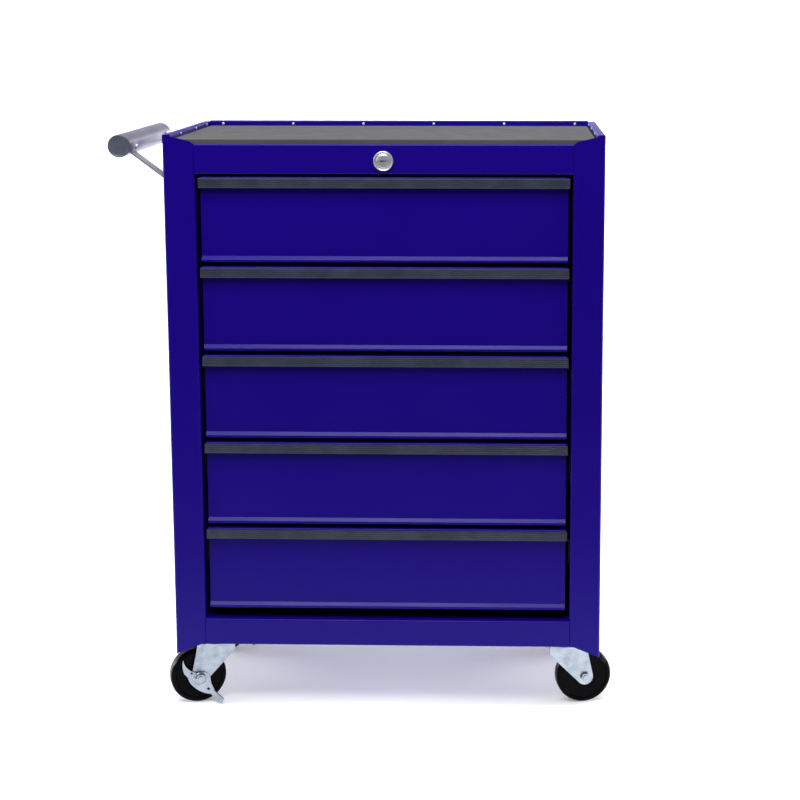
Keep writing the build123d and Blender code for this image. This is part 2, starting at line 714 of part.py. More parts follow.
def caster_bolts():
    """Hexagon bolts up through the plate and the cabinet's floor, with their nuts."""
    bolts = []
    head_height = 4.0
    nut_height = 5.0
    for x, y in caster_bolt_places():
        hexagon = RegularPolygon(CASTER_BOLT_HEAD, 6)
        bolt = Pos(x, y, PLATE_BOTTOM - head_height) * extrude(hexagon, amount=head_height)
        bolt += post(x, y, (PLATE_BOTTOM, BASE_TOP + nut_height + 2), CASTER_BOLT)
        bolt += Pos(x, y, BASE_TOP) * extrude(hexagon, amount=nut_height)
        bolts.append(bolt)
    return group(bolts)


def fork_leg():
    """Outline of one leg: wide under the crown, drawn in to a round end at the axle."""
    end_radius = 12.0
    top = FORK_TOP - FORK_SHEET / 2
    web = make_hull([
        Edge.make_line((-FORK_HALF_LENGTH + 6, top), (FORK_HALF_LENGTH - 1, top)),
        Edge.make_line((-FORK_HALF_LENGTH + 6, top - 12), (FORK_HALF_LENGTH + 1, top - 12)),
        Edge.make_circle(end_radius, Plane((TRAIL, AXLE_LEVEL, 0))),
    ])
    return web


def caster_fork():
    """Pressed fork, drawn with its swivel axis at X = Y = 0 and its axle towards +X."""
    outline = fork_leg()
    leg = Pos(0, LEG_INNER, 0) * extrude(FRONT_VIEW * outline, amount=FORK_SHEET, dir=BACKWARD)
    legs = leg + mirror(leg, about=Plane.XZ)
    crown = block((-FORK_HALF_LENGTH + 6, FORK_HALF_LENGTH - 1), (-LEG_OUTER, LEG_OUTER),
                  (FORK_TOP - FORK_SHEET, FORK_TOP))
    crown += post(0, 0, (FORK_TOP - FORK_SHEET, FORK_TOP), 50)
    race = post(0, 0, (FORK_TOP, FORK_TOP + 5.4), 46) - post(0, 0, (FORK_TOP, FORK_TOP + 6), 40)
    fork = legs + crown + race
    fork -= post(0, 0, (FORK_TOP - 5, FORK_TOP + 1), KINGPIN + 0.12)
    return fork - rod(TRAIL, AXLE_LEVEL, (-LEG_OUTER - 1, LEG_OUTER + 1), AXLE_SHANK + 0.4)


def caster_wheel():
    """One-piece wheel: round-edged tread, a dished web with a bead round it, and a hub."""
    radius = WHEEL / 2
    half = WHEEL_WIDTH / 2
    hub = 12.0
    hub_half = LEG_INNER - 0.4
    web_half = 8.0
    bead = 34.6
    bore = AXLE_SLEEVE / 2 + AXLE_CLEARANCE
    section = Polyline(
        (bore, 0), (bore, hub_half), (hub, hub_half), (hub + 1.2, web_half),
        (bead - 1.6, half - 1.6), (bead - 0.8, half - 0.4), (bead + 0.6, half - 0.4),
        (bead + 1.2, half - 1.2), (radius - 2.6, half - 1.6), (radius - 0.8, half - 3.4),
        (radius, half - 6), (radius, 0), close=True,
    )
    half_wheel = revolve(make_face(section), Axis.Y)
    wheel = half_wheel + mirror(half_wheel, about=Plane.XZ)
    return Pos(TRAIL, 0, AXLE_LEVEL) * wheel


def caster_axle(has_brake):
    """Axle bolt with its sleeve and nut; a brake lever sits between the leg and the nut."""
    sleeve = rod(TRAIL, AXLE_LEVEL, (-LEG_INNER, LEG_INNER), AXLE_SLEEVE)
    nut_face = LEG_OUTER
    if has_brake:
        nut_face += 2 * LEVER_GAP + LEVER_SHEET + LEVER_DOME
    nut_height = 5.0
    end = nut_face + nut_height + 1.5
    shank = rod(TRAIL, AXLE_LEVEL, (-end, LEG_OUTER), AXLE_SHANK)
    hexagon = extrude(FRONT_VIEW * RegularPolygon(7.2, 6), amount=nut_height, dir=BACKWARD)
    head = Pos(TRAIL, LEG_OUTER, AXLE_LEVEL) * hexagon
    nut = Pos(TRAIL, -nut_face - nut_height, AXLE_LEVEL) * hexagon
    return sleeve + shank + head + nut


def brake_lever():
    """Pressed lever on the axle, outside the front leg, with a toe tab at its lower end."""
    sheet = LEVER_SHEET
    outline = make_face([
        ThreePointArc((24, 28), (15, 12.5), (2, 6.8)),
        Line((2, 6.8), (-7, 7.4)),
        ThreePointArc((-7, 7.4), (-13.2, 2.5), (-15.6, -6)),
        ThreePointArc((-15.6, -6), (-18, -15), (-22, -23)),
        Line((-22, -23), (-15, -27.5)),
        ThreePointArc((-15, -27.5), (4, -18.6), (16, -5)),
        ThreePointArc((16, -5), (18, 1), (22.4, 6.6)),
        ThreePointArc((22.4, 6.6), (25, 17), (24, 28)),
    ])
    plate = extrude(FRONT_VIEW * outline, amount=sheet, dir=(0, -1, 0))
    dome = Cone(9.5, 7.5, LEVER_DOME, align=(Align.CENTER, Align.CENTER, Align.MIN))
    lever = plate + Pos(0, -sheet, -2) * Rot(90, 0, 0) * dome
    lever -= rod(0, 0, (-8, 1), AXLE_SHANK + 0.16)
    for x, z, size in ((12, 7.2, 3.4), (-12, -19, 4.0)):
        lever -= rod(x, z, (-8, 1), size)
    toe_tab = Pos(-18.6, -sheet / 2, -25.4) * Rot(0, 0, 44) * Rot(0, -34, 0)
    toe_tab *= Box(20, sheet, 9, align=(Align.MAX, Align.CENTER, Align.CENTER))
    return Pos(TRAIL, -LEG_OUTER - LEVER_GAP, AXLE_LEVEL) * (lever + toe_tab)


def place_caster(shape, y, side, turn):
    """Moves a caster's piece from its drawing position to its corner, at its turn."""
    if side < 0:
        shape = mirrored(shape)
    return Pos(side * SWIVEL_X, y, 0) * Rot(0, 0, turn) * shape


# --- All nodes, in one dictionary ------------------------------------------------------------------

def build_nodes():
    right_panel = right_side_panel()
    nodes = {
        "left_side_panel": mirrored(right_panel),
        "right_side_panel": right_panel,
        "back_panel": back_panel(),
        "top_rail": top_rail(),
        "bottom_rail": bottom_rail(),
        "base_plate": base_plate(),
        "top_tray": top_tray(),
        "top_mat": top_mat(),
        "rear_uprights": rear_uprights(),
        "rim_rivets": rim_rivets(),
        "lock_housing": lock_housing(),
        "lock_plug": lock_plug(),
        "lock_tail_rod": lock_tail_rod(),
        "lock_bar": lock_bar(),
        "lock_bar_guides": lock_bar_guides(),
        "handle_tube": handle_tube(),
        "handle_end_caps": handle_end_caps(),
        "handle_struts": group([handle_strut(y) for y in STRUT_PLACES]),
        "handle_screws": handle_screws(),
        "caster_plates": caster_plates(),
        "caster_bolts": caster_bolts(),
        "swivel_balls": swivel_balls(),
    }
    outer_slides = [outer_slide(bottom) for bottom in drawer_bottoms()]
    nodes["outer_slides_right"] = group(outer_slides)
    nodes["outer_slides_left"] = group([mirrored(slide) for slide in outer_slides])
    for number, bottom in enumerate(drawer_bottoms(), start=1):
        name = f"drawer_{number}"
        slide = inner_slide(bottom)
        cage = ball_retainer(bottom)
        nodes[f"{name}_box"] = drawer_box(bottom)
        nodes[f"{name}_pull"] = drawer_pull(bottom)
        nodes[f"{name}_inner_slides"] = group([slide, mirrored(slide)])
        nodes[f"{name}_ball_retainers"] = group(cage + [mirrored(piece) for piece in cage])

    fork = caster_fork()
    wheel = caster_wheel()
    lever = brake_lever()
    for name, y, side, turn in CASTERS:
        nodes[f"{name}_fork"] = place_caster(fork, y, side, turn)
        nodes[f"{name}_wheel"] = place_caster(wheel, y, side, turn)
        nodes[f"{name}_axle"] = place_caster(caster_axle(side < 0), y, side, turn)
        if side < 0:
            nodes[f"{name}_brake"] = place_caster(lever, y, side, turn)
    return nodes


NODES = build_nodes()
WHOLE = Compound(children=[shape.moved(Location()) for shape in NODES.values()])
BOUNDS = WHOLE.bounding_box()
ORIGIN = ((BOUNDS.min.X + BOUNDS.max.X) / 2, (BOUNDS.min.Y + BOUNDS.max.Y) / 2, BOUNDS.min.Z)
TO_ORIGIN = Pos(-ORIGIN[0], -ORIGIN[1], -ORIGIN[2])

os.makedirs("parts", exist_ok=True)
for node_name, node_shape in NODES.items():
    export_step(TO_ORIGIN * node_shape, f"parts/{node_name}.step")
print("origin", ORIGIN)
print("size", BOUNDS.size)
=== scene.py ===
import math
import bpy
from mathutils import Matrix, Vector


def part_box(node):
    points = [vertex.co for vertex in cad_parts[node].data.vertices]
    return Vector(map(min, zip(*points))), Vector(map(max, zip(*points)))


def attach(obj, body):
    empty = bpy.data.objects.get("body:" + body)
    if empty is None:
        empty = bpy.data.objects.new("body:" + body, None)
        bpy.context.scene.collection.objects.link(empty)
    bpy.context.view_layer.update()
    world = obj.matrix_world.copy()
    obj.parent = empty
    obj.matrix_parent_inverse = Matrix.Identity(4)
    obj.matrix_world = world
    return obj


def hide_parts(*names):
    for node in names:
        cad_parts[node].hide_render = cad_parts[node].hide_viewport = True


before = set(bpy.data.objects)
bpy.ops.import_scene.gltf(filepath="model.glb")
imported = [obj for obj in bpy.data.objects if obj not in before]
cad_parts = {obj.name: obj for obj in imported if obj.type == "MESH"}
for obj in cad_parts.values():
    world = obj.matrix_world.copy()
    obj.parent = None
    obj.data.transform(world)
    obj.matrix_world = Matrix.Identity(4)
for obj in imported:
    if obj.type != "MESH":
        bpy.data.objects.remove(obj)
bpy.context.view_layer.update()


# --- Cabinet shell -----------------------------------------------------------------------
# Side panels with their posts, back, rails, floor and tray: 1 mm cold-rolled steel, folded
# on a press brake, spot welded, then powder coated in a deep indigo and baked.

mm = 0.001


def linear(colour):
    """The linear values of an sRGB hex colour."""
    parts = [int(colour[at:at + 2], 16) / 255 for at in (1, 3, 5)]
    return [part / 12.92 if part <= 0.04045 else ((part + 0.055) / 1.055) ** 2.4
            for part in parts] + [1.0]


def new_material(name):
    """An empty material, ready for its nodes."""
    material = bpy.data.materials.new(name)
    material.use_nodes = True
    material.node_tree.nodes.clear()
    return material


def add(material, kind, inputs=None, **settings):
    """Adds a node to a material, with its settings, its input values and its links."""
    node = material.node_tree.nodes.new(kind)
    for name, value in settings.items():
        setattr(node, name, value)
    for name, value in (inputs or {}).items():
        if isinstance(value, bpy.types.NodeSocket):
            material.node_tree.links.new(value, node.inputs[name])
        else:
            node.inputs[name].default_value = value
    return node


def coat_node(name, material):
    """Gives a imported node's mesh its finish."""
    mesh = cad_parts[name].data
    mesh.materials.clear()
    mesh.materials.append(material)


# A colour mix node's sockets share their names with its number sockets, so they are found
# by their order: how much of the second colour, the first, the second, and the result.
mix_share, mix_first, mix_second, mix_result = 0, 6, 7, 2

# Powder coat: a gloss polyester film, sprayed and baked, that gives one deep even colour
# with broad soft reflections.  Its orange peel is about 2 mm across on the real sheet, and
# is drawn at 4 mm so that it shows as a faint unevenness in the reflections.
powder_coat = new_material("powder_coat_indigo")
place = add(powder_coat, "ShaderNodeTexCoord").outputs["Object"]
film = add(powder_coat, "ShaderNodeTexNoise",
           {"Vector": place, "Scale": 1 / (350 * mm), "Detail": 1.0})
film_share = add(powder_coat, "ShaderNodeMapRange",
                 {"Value": film.outputs["Fac"], "From Min": 0.35, "From Max": 0.65})
film_colour = add(powder_coat, "ShaderNodeMix",
                  {mix_share: film_share.outputs["Result"],
                   mix_first: linear("#160178"), mix_second: linear("#18017B")},
                  data_type="RGBA")
gloss_drift = add(powder_coat, "ShaderNodeTexNoise",
                  {"Vector": place, "Scale": 1 / (120 * mm), "Detail": 1.0})
gloss = add(powder_coat, "ShaderNodeMapRange",
            {"Value": gloss_drift.outputs["Fac"], "From Min": 0.3, "From Max": 0.7,
             "To Min": 0.30, "To Max": 0.36})
orange_peel = add(powder_coat, "ShaderNodeTexNoise",
                  {"Vector": place, "Scale": 1 / (4 * mm), "Detail": 2.0})
peel_relief = add(powder_coat, "ShaderNodeBump",
                  {"Height": orange_peel.outputs["Fac"], "Strength": 0.5,
                   "Distance": 0.03 * mm})
film_surface = add(powder_coat, "ShaderNodeBsdfPrincipled",
                   {"Base Color": film_colour.outputs[mix_result],
                    "Roughness": gloss.outputs["Result"],
                    "Normal": peel_relief.outputs["Normal"],
                    "IOR": 1.5, "Specular IOR Level": 0.14})
add(powder_coat, "ShaderNodeOutputMaterial", {"Surface": film_surface.outputs["BSDF"]})

for name in ("left_side_panel", "right_side_panel", "back_panel", "top_rail", "bottom_rail",
             "base_plate", "top_tray", "rear_uprights"):
    coat_node(name, powder_coat)


# --- Mat ---------------------------------------------------------------------------------
# Loose sheet of EVA foam rubber, 6.5 mm thick and rounded at its back corners, cut to lie
# inside the tray's rims.  Nothing holds it down.

# Foam rubber: calendered EVA, matt and mid grey.  Its fine cellular grain breaks up what
# light it returns; the grain is well under 1 mm, and is drawn at 2.2 mm so that it shows.
mat_rubber = new_material("foam_rubber_mat")
place = add(mat_rubber, "ShaderNodeTexCoord").outputs["Object"]
scuffs = add(mat_rubber, "ShaderNodeTexNoise",
             {"Vector": place, "Scale": 1 / (50 * mm), "Detail": 3.0})
scuff_share = add(mat_rubber, "ShaderNodeMapRange",
                  {"Value": scuffs.outputs["Fac"], "From Min": 0.35, "From Max": 0.65})
foam_colour = add(mat_rubber, "ShaderNodeMix",
                  {mix_share: scuff_share.outputs["Result"],
                   mix_first: linear("#4B4B4C"), mix_second: linear("#515152")},
                  data_type="RGBA")
matt_drift = add(mat_rubber, "ShaderNodeTexNoise",
                 {"Vector": place, "Scale": 1 / (20 * mm), "Detail": 4.0})
mattness = add(mat_rubber, "ShaderNodeMapRange",
               {"Value": matt_drift.outputs["Fac"], "From Min": 0.3, "From Max": 0.7,
                "To Min": 0.62, "To Max": 0.74})
foam_grain = add(mat_rubber, "ShaderNodeTexNoise",
                 {"Vector": place, "Scale": 1 / (2.2 * mm), "Detail": 2.0})
grain_relief = add(mat_rubber, "ShaderNodeBump",
                   {"Height": foam_grain.outputs["Fac"], "Strength": 0.7,
                    "Distance": 0.35 * mm})
foam_surface = add(mat_rubber, "ShaderNodeBsdfPrincipled",
                   {"Base Color": foam_colour.outputs[mix_result],
                    "Roughness": mattness.outputs["Result"],
                    "Normal": grain_relief.outputs["Normal"],
                    "IOR": 1.5, "Specular IOR Level": 0.12})
add(mat_rubber, "ShaderNodeOutputMaterial", {"Surface": foam_surface.outputs["BSDF"]})

coat_node("top_mat", mat_rubber)


# --- Rim rivets --------------------------------------------------------------------------
# Domed aluminium blind rivets, 4 mm across, that hold the tray to the rims: six along the
# back and three on each side.  They are set cold with a hand tool, and their heads are bare.

centre_x = (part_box("left_side_panel")[0].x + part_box("right_side_panel")[1].x) / 2
front_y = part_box("left_side_panel")[0].y
rivet_level = (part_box("rim_rivets")[0].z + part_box("rim_rivets")[1].z) / 2
rear_rivets = 6
rear_rivet_pitch = 110 * mm
side_rivet_depths = (80 * mm, 200 * mm, 290 * mm)
rivet_outline = [(2.0, 0), (2.0, 0.45), (1.7, 0.85), (1.1, 1.1), (0.4, 1.2)]
smooth_below = math.radians(35)

# Bare aluminium: upset wire, gone a little dull in the air, so it gives a pale glint with no
# sharp reflection.  Its tool marks are under 0.1 mm, and are drawn at 0.6 mm so that they show.
aluminium = new_material("aluminium_bare")
place = add(aluminium, "ShaderNodeTexCoord").outputs["Object"]
tarnish = add(aluminium, "ShaderNodeTexNoise",
              {"Vector": place, "Scale": 1 / (2 * mm), "Detail": 3.0})
tarnish_share = add(aluminium, "ShaderNodeMapRange",
                    {"Value": tarnish.outputs["Fac"], "From Min": 0.35, "From Max": 0.65})
rivet_colour = add(aluminium, "ShaderNodeMix",
                   {mix_share: tarnish_share.outputs["Result"],
                    mix_first: linear("#C4C3CC"), mix_second: linear("#D6D5DD")},
                   data_type="RGBA")
dull_drift = add(aluminium, "ShaderNodeTexNoise",
                 {"Vector": place, "Scale": 1 / (1 * mm), "Detail": 4.0})
dullness = add(aluminium, "ShaderNodeMapRange",
               {"Value": dull_drift.outputs["Fac"], "From Min": 0.3, "From Max": 0.7,
                "To Min": 0.42, "To Max": 0.55})
tool_marks = add(aluminium, "ShaderNodeTexNoise",
                 {"Vector": place, "Scale": 1 / (0.6 * mm), "Detail": 2.0})
mark_relief = add(aluminium, "ShaderNodeBump",
                  {"Height": tool_marks.outputs["Fac"], "Strength": 0.3,
                   "Distance": 0.02 * mm})
rivet_surface = add(aluminium, "ShaderNodeBsdfPrincipled",
                    {"Base Color": rivet_colour.outputs[mix_result],
                     "Roughness": dullness.outputs["Result"],
                     "Normal": mark_relief.outputs["Normal"], "Metallic": 0.6})
add(aluminium, "ShaderNodeOutputMaterial", {"Surface": rivet_surface.outputs["BSDF"]})


def turned(name, outline, sides, bored=False):
    """A piece turned about Z, from its outline's (radius, level) pairs in millimetres.

    It is extruded ring by ring.  A bored piece's outline comes back to its first level, and
    its two end faces are taken out and the rings that are left are bridged.
    """
    bpy.ops.object.select_all(action="DESELECT")
    first_radius, first_level = outline[0]
    bpy.ops.mesh.primitive_circle_add(vertices=sides, radius=first_radius * mm,
                                      fill_type="NGON", location=(0, 0, first_level * mm))
    piece = bpy.context.object
    piece.name = name
    bpy.ops.object.transform_apply(location=True)
    bpy.ops.object.mode_set(mode="EDIT")
    bpy.ops.mesh.select_all(action="SELECT")
    for (radius, level), (next_radius, next_level) in zip(outline, outline[1:]):
        rise = (next_level - level) * mm
        spread = next_radius / radius
        bpy.ops.mesh.extrude_region_move(TRANSFORM_OT_translate={"value": (0, 0, rise)})
        bpy.ops.transform.resize(value=(spread, spread, 1), center_override=(0, 0, 0))
    if bored:
        bpy.ops.mesh.delete(type="ONLY_FACE")
        bpy.ops.object.mode_set(mode="OBJECT")
        for face in piece.data.polygons:
            face.select = len(face.vertices) == sides
        bpy.ops.object.mode_set(mode="EDIT")
        bpy.ops.mesh.select_mode(type="FACE")
        bpy.ops.mesh.delete(type="ONLY_FACE")
        bpy.ops.mesh.select_mode(type="EDGE")
        bpy.ops.mesh.select_non_manifold()
        bpy.ops.mesh.bridge_edge_loops()
    bpy.ops.mesh.select_all(action="SELECT")
    bpy.ops.mesh.normals_make_consistent(inside=False)
    bpy.ops.object.mode_set(mode="OBJECT")
    bpy.ops.object.shade_smooth_by_angle(angle=smooth_below)
    return piece


def copied(piece, name, place):
    """The same piece again with a mesh of its own, put in its place."""
    again = bpy.data.objects.new(name, piece.data.copy())
    bpy.context.collection.objects.link(again)
    again.data.transform(place)
    return again


def joined(pieces, name):
    """Several loose pieces as one object."""
    bpy.ops.object.select_all(action="DESELECT")
    for piece in pieces:
        piece.select_set(True)
    bpy.context.view_layer.objects.active = pieces[0]
    bpy.ops.object.join()
    bpy.context.object.name = name
    return bpy.context.object


def put_in(piece, material, node, body):
    """Stands a finished piece in for its CAD node, on that node's body."""
    piece.data.materials.clear()
    piece.data.materials.append(material)
    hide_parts(node)
    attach(piece, body)


facing_front = Matrix.Rotation(math.pi / 2, 4, "X")
rivet = turned("rivet", rivet_outline, 16)
rear_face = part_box("rim_rivets")[1].y
side_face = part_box("rim_rivets")[1].x - centre_x
heads = []
for step in range(rear_rivets):
    along = (step - (rear_rivets - 1) / 2) * rear_rivet_pitch
    spot = Matrix.Translation((centre_x + along, rear_face, rivet_level))
    heads.append(copied(rivet, f"rear_rivet_{step + 1}", spot @ facing_front))
for step, depth in enumerate(side_rivet_depths):
    for side in (-1, 1):
        spot = Matrix.Translation((centre_x + side * side_face, front_y + depth, rivet_level))
        facing_in = Matrix.Rotation(-side * math.pi / 2, 4, "Y")
        heads.append(copied(rivet, f"side_rivet_{step + 1}", spot @ facing_in))
bpy.data.objects.remove(rivet)
put_in(joined(heads, "rim_rivet_heads"), aluminium, "rim_rivets", "cabinet")


# --- Lock --------------------------------------------------------------------------------
# Cylinder lock in the top rail: zinc die casting, polished and chrome plated, held from
# behind by a hexagon nut.  A steel rod runs from it to the bar at the back, whose hooks rise
# to hold the drawers shut.

ring_outline = [
    (9.5, -21.0), (9.5, 0.0), (13.3, 0.0), (14.0, 0.7), (14.0, 1.7), (13.6, 2.6), (12.9, 3.0),
    (12.2, 2.7), (11.6, 2.0), (10.4, 1.7), (9.4, 2.2), (8.7, 2.6), (8.1, 2.3), (8.1, -21.0)]
nut_outline = [(13.4, -6.0), (13.4, -1.0)]

# Worn chrome: plating on a die casting, rubbed by keys and hands, so its highlights are soft
# and broad.  Its hairlines are under 0.1 mm, and are drawn at 1.2 mm so that they show.
satin_chrome = new_material("chrome_plate_worn")
place = add(satin_chrome, "ShaderNodeTexCoord").outputs["Object"]
rubbing = add(satin_chrome, "ShaderNodeTexNoise",
              {"Vector": place, "Scale": 1 / (4 * mm), "Detail": 3.0})
rubbed_share = add(satin_chrome, "ShaderNodeMapRange",
                   {"Value": rubbing.outputs["Fac"], "From Min": 0.35, "From Max": 0.65})
worn_colour = add(satin_chrome, "ShaderNodeMix",
                  {mix_share: rubbed_share.outputs["Result"],
                   mix_first: linear("#B9BAC0"), mix_second: linear("#CBCCD2")},
                  data_type="RGBA")
haze_drift = add(satin_chrome, "ShaderNodeTexNoise",
                 {"Vector": place, "Scale": 1 / (3 * mm), "Detail": 4.0})
haze = add(satin_chrome, "ShaderNodeMapRange",
           {"Value": haze_drift.outputs["Fac"], "From Min": 0.3, "From Max": 0.7,
            "To Min": 0.30, "To Max": 0.42})
hairlines = add(satin_chrome, "ShaderNodeTexNoise",
                {"Vector": place, "Scale": 1 / (1.2 * mm), "Detail": 2.0})
hairline_relief = add(satin_chrome, "ShaderNodeBump",
                      {"Height": hairlines.outputs["Fac"], "Strength": 0.3,
                       "Distance": 0.02 * mm})
worn_surface = add(satin_chrome, "ShaderNodeBsdfPrincipled",
                   {"Base Color": worn_colour.outputs[mix_result],
                    "Roughness": haze.outputs["Result"],
                    "Normal": hairline_relief.outputs["Normal"], "Metallic": 0.7})
add(satin_chrome, "ShaderNodeOutputMaterial", {"Surface": worn_surface.outputs["BSDF"]})

# Zinc plate: bright passivated plating on pressed steel, pale and faintly blue, with a soft
# mirror.  Its faint clouding and the press's grain are drawn at 12 mm and 1.5 mm.
zinc_plate = new_material("zinc_plate")
place = add(zinc_plate, "ShaderNodeTexCoord").outputs["Object"]
clouding = add(zinc_plate, "ShaderNodeTexNoise",
               {"Vector": place, "Scale": 1 / (12 * mm), "Detail": 3.0})
clouding_share = add(zinc_plate, "ShaderNodeMapRange",
                     {"Value": clouding.outputs["Fac"], "From Min": 0.35, "From Max": 0.65})
zinc_colour = add(zinc_plate, "ShaderNodeMix",
                  {mix_share: clouding_share.outputs["Result"],
                   mix_first: linear("#99A2AE"), mix_second: linear("#AFB7C2")},
                  data_type="RGBA")
bath_drift = add(zinc_plate, "ShaderNodeTexNoise",
                 {"Vector": place, "Scale": 1 / (8 * mm), "Detail": 4.0})
bath_gloss = add(zinc_plate, "ShaderNodeMapRange",
                 {"Value": bath_drift.outputs["Fac"], "From Min": 0.3, "From Max": 0.7,
                  "To Min": 0.24, "To Max": 0.38})
press_grain = add(zinc_plate, "ShaderNodeTexNoise",
                  {"Vector": place, "Scale": 1 / (1.5 * mm), "Detail": 2.0})
press_relief = add(zinc_plate, "ShaderNodeBump",
                   {"Height": press_grain.outputs["Fac"], "Strength": 0.4,
                    "Distance": 0.04 * mm})
zinc_surface = add(zinc_plate, "ShaderNodeBsdfPrincipled",
                   {"Base Color": zinc_colour.outputs[mix_result],
                    "Roughness": bath_gloss.outputs["Result"],
                    "Normal": press_relief.outputs["Normal"], "Metallic": 1.0})
add(zinc_plate, "ShaderNodeOutputMaterial", {"Surface": zinc_surface.outputs["BSDF"]})

housing = turned("lock_ring", ring_outline, 48, bored=True)
nut = turned("lock_nut", nut_outline, 6)
housing = joined([housing, nut], "lock_housing_ring")
lock_middle = (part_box("lock_plug")[0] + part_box("lock_plug")[1]) / 2
housing.data.transform(
    Matrix.Translation((lock_middle.x, front_y, lock_middle.z)) @ facing_front)
put_in(housing, satin_chrome, "lock_housing", "cabinet")
coat_node("lock_plug", satin_chrome)
for name in ("lock_tail_rod", "lock_bar", "lock_bar_guides"):
    coat_node(name, zinc_plate)


# --- Drawers -----------------------------------------------------------------------------
# Five folded and welded boxes in the cabinet's powder coat, each on a pair of ball slides,
# with a ribbed strip of grey PVC pressed over the nose of its front to pull it by.

# Rigid PVC: extruded, slate grey, with a low satin sheen along its ribs.  The die lines are
# under 1 mm, and are drawn as a 3 mm unevenness so that they show.
pull_strip = new_material("rigid_pvc_strip")
place = add(pull_strip, "ShaderNodeTexCoord").outputs["Object"]
handling = add(pull_strip, "ShaderNodeTexNoise",
               {"Vector": place, "Scale": 1 / (30 * mm), "Detail": 3.0})
handled_share = add(pull_strip, "ShaderNodeMapRange",
                    {"Value": handling.outputs["Fac"], "From Min": 0.35, "From Max": 0.65})
strip_colour = add(pull_strip, "ShaderNodeMix",
                   {mix_share: handled_share.outputs["Result"],
                    mix_first: linear("#2B2F3E"), mix_second: linear("#353949")},
                   data_type="RGBA")
strip_drift = add(pull_strip, "ShaderNodeTexNoise",
                  {"Vector": place, "Scale": 1 / (10 * mm), "Detail": 4.0})
strip_sheen = add(pull_strip, "ShaderNodeMapRange",
                  {"Value": strip_drift.outputs["Fac"], "From Min": 0.3, "From Max": 0.7,
                   "To Min": 0.36, "To Max": 0.46})
die_lines = add(pull_strip, "ShaderNodeTexNoise",
                {"Vector": place, "Scale": 1 / (3 * mm), "Detail": 2.0})
die_relief = add(pull_strip, "ShaderNodeBump",
                 {"Height": die_lines.outputs["Fac"], "Strength": 0.4, "Distance": 0.06 * mm})
strip_surface = add(pull_strip, "ShaderNodeBsdfPrincipled",
                    {"Base Color": strip_colour.outputs[mix_result],
                     "Roughness": strip_sheen.outputs["Result"],
                     "Normal": die_relief.outputs["Normal"],
                     "IOR": 1.53, "Specular IOR Level": 0.25})
add(pull_strip, "ShaderNodeOutputMaterial", {"Surface": strip_surface.outputs["BSDF"]})

# Electrocoat: a thin black paint laid on the rolled slides in a bath, satin, so that they
# stay dark in the gaps round the drawers.  The steel's rolled grain is drawn at 2 mm.
black_steel = new_material("electrocoat_black")
place = add(black_steel, "ShaderNodeTexCoord").outputs["Object"]
coat_drift = add(black_steel, "ShaderNodeTexNoise",
                 {"Vector": place, "Scale": 1 / (20 * mm), "Detail": 3.0})
coat_share = add(black_steel, "ShaderNodeMapRange",
                 {"Value": coat_drift.outputs["Fac"], "From Min": 0.35, "From Max": 0.65})
black_colour = add(black_steel, "ShaderNodeMix",
                   {mix_share: coat_share.outputs["Result"],
                    mix_first: linear("#08080A"), mix_second: linear("#0D0D10")},
                   data_type="RGBA")
satin_drift = add(black_steel, "ShaderNodeTexNoise",
                  {"Vector": place, "Scale": 1 / (10 * mm), "Detail": 4.0})
satin = add(black_steel, "ShaderNodeMapRange",
            {"Value": satin_drift.outputs["Fac"], "From Min": 0.3, "From Max": 0.7,
             "To Min": 0.40, "To Max": 0.52})
rolled_grain = add(black_steel, "ShaderNodeTexNoise",
                   {"Vector": place, "Scale": 1 / (2 * mm), "Detail": 2.0})
rolled_relief = add(black_steel, "ShaderNodeBump",
                    {"Height": rolled_grain.outputs["Fac"], "Strength": 0.5,
                     "Distance": 0.03 * mm})
black_surface = add(black_steel, "ShaderNodeBsdfPrincipled",
                    {"Base Color": black_colour.outputs[mix_result],
                     "Roughness": satin.outputs["Result"],
                     "Normal": rolled_relief.outputs["Normal"], "IOR": 1.5})
add(black_steel, "ShaderNodeOutputMaterial", {"Surface": black_surface.outputs["BSDF"]})

for name in ("outer_slides_left", "outer_slides_right"):
    coat_node(name, black_steel)
for number in range(1, 6):
    coat_node(f"drawer_{number}_box", powder_coat)
    coat_node(f"drawer_{number}_pull", pull_strip)
    coat_node(f"drawer_{number}_inner_slides", black_steel)
    coat_node(f"drawer_{number}_ball_retainers", zinc_plate)


# --- Grip tube ---------------------------------------------------------------------------
# Round steel tube in silver powder coat, screwed to two bent and bright plated flat bars,
# with a moulded cap pressed into each end.

cap_outline = [
    (13.9, -14.0), (14.3, -13.4), (14.3, 0.0), (15.9, 0.0), (16.0, 0.4), (16.0, 2.6), (15.7, 3.5),
    (15.0, 4.0), (14.2, 4.0), (13.6, 3.6), (13.0, 3.1), (12.2, 3.0)]

# Silver powder coat: polyester with aluminium flake, baked, so it shades from bright to mid
# grey round the tube.  Its orange peel is about 2 mm across, and is drawn at 3 mm.
grip_coat = new_material("powder_coat_silver")
place = add(grip_coat, "ShaderNodeTexCoord").outputs["Object"]
flake_drift = add(grip_coat, "ShaderNodeTexNoise",
                  {"Vector": place, "Scale": 1 / (40 * mm), "Detail": 3.0})
flake_share = add(grip_coat, "ShaderNodeMapRange",
                  {"Value": flake_drift.outputs["Fac"], "From Min": 0.35, "From Max": 0.65})
silver_colour = add(grip_coat, "ShaderNodeMix",
                    {mix_share: flake_share.outputs["Result"],
                     mix_first: linear("#807E90"), mix_second: linear("#8C8A9C")},
                    data_type="RGBA")
silver_drift = add(grip_coat, "ShaderNodeTexNoise",
                   {"Vector": place, "Scale": 1 / (20 * mm), "Detail": 4.0})
silver_gloss = add(grip_coat, "ShaderNodeMapRange",
                   {"Value": silver_drift.outputs["Fac"], "From Min": 0.3, "From Max": 0.7,
                    "To Min": 0.30, "To Max": 0.38})
